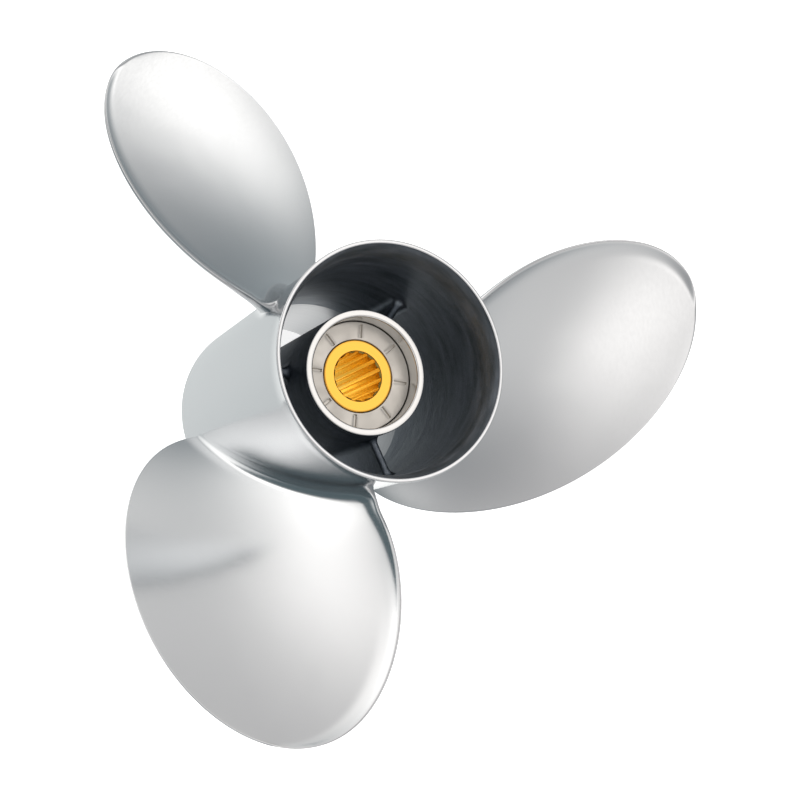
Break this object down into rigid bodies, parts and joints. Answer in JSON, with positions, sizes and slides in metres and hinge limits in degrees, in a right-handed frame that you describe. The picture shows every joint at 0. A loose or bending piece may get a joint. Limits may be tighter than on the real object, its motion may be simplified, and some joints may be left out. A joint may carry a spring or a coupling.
{
  "type": "boat propeller",
  "caption": "Right-handed outboard propeller with skewed, cupped blades on a hollow barrel that the exhaust leaves through, and a splined brass sleeve.",
  "frame": {"origin": "on the shaft axis, in the plane of the barrel's front end, which it stands on", "axes": "+Z along the shaft axis towards the rear, where the exhaust leaves; +X through the root of blade_1; angles run anticlockwise seen from the rear"},
  "size_m": [0.3344, 0.3357, 0.1634],
  "materials": {
    "polished_stainless": "satin polish",
    "cast_stainless": "dark as-cast, blasted",
    "die_cast_ring": "die cast, satin",
    "black_rubber": "matte",
    "machined_brass": "machined"
  },
  "bodies": {
    "root": {"barrel": "polished_stainless", "blade_1": "polished_stainless", "blade_2": "polished_stainless", "blade_3": "polished_stainless", "inner_hub": "cast_stainless", "web_1": "cast_stainless", "web_2": "cast_stainless", "web_3": "cast_stainless", "bushing_ring": "die_cast_ring", "rubber_bushing": "black_rubber", "drive_sleeve": "machined_brass"}
  },
  "joints": []
}
